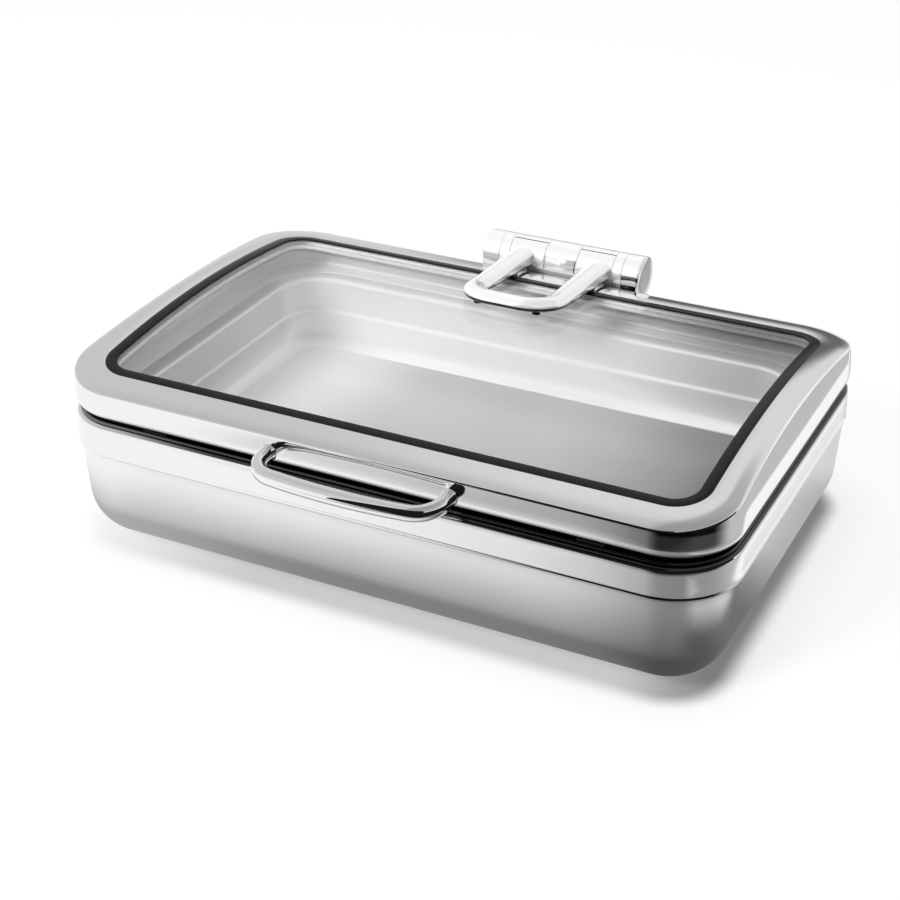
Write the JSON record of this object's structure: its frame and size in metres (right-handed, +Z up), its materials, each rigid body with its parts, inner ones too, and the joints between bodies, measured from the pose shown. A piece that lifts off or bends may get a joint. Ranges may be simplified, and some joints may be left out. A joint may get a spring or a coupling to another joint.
{
  "type": "chafing dish",
  "caption": "Low rectangular chafing dish of polished steel: a water base, a lift-out food pan and an arched glass lid on a damped barrel hinge, with a bow handle in front.",
  "frame": {"origin": "centre of the underside of the base, on the table", "axes": "+X to the right along the long side, -Y towards the front handle, +Z up"},
  "size_m": [0.582, 0.4644, 0.1774],
  "materials": {
    "polished_steel": "mirror polished stainless steel",
    "satin_steel": "satin stainless steel",
    "hinge_chrome": "bright chrome plate",
    "heating_plate": "matt magnetic steel",
    "clear_glass": "clear toughened glass",
    "black_silicone": "matt black silicone",
    "steel_fittings": "plain stainless steel",
    "bronze_bush": "plain bearing bronze",
    "damper_plastic": "moulded acetal"
  },
  "bodies": {
    "base": {"base_shell": "polished_steel", "induction_plate": "heating_plate", "rim_frame": "polished_steel", "lid_bumpers": "black_silicone", "bracket_seal": "black_silicone", "hinge_bracket": "steel_fittings", "bracket_backing": "steel_fittings", "bracket_screws": "steel_fittings", "hinge_centre_knuckle": "hinge_chrome", "hinge_knuckle_left": "hinge_chrome", "hinge_knuckle_right": "hinge_chrome", "knuckle_screws": "steel_fittings", "hinge_shaft": "steel_fittings", "end_cap_left": "hinge_chrome", "end_cap_right": "hinge_chrome", "cap_grub_screws": "steel_fittings"},
    "pan": {"food_pan": "satin_steel"},
    "lid": {"lid_frame": "polished_steel", "lid_glass": "clear_glass", "glass_gasket": "black_silicone", "glass_retainer": "steel_fittings", "retainer_screws": "steel_fittings", "front_handle": "hinge_chrome", "handle_washers": "steel_fittings", "handle_screws": "steel_fittings", "hinge_loop": "hinge_chrome", "loop_seat_pads": "hinge_chrome", "loop_screws": "steel_fittings", "glass_pads": "black_silicone", "hinge_bushes": "bronze_bush", "damper_rotor_left": "damper_plastic", "damper_rotor_right": "damper_plastic"}
  },
  "joints": [
    {"name": "lid_hinge", "type": "hinge", "parent": "base", "child": "lid", "pos_m": [0, 0.214, 0.1535], "axis": [-1, 0, 0], "range_deg": [0, 90]},
    {"name": "pan_lift", "type": "slide", "parent": "base", "child": "pan", "axis": [0, 0, 1], "range_m": [0, 0.016]}
  ]
}
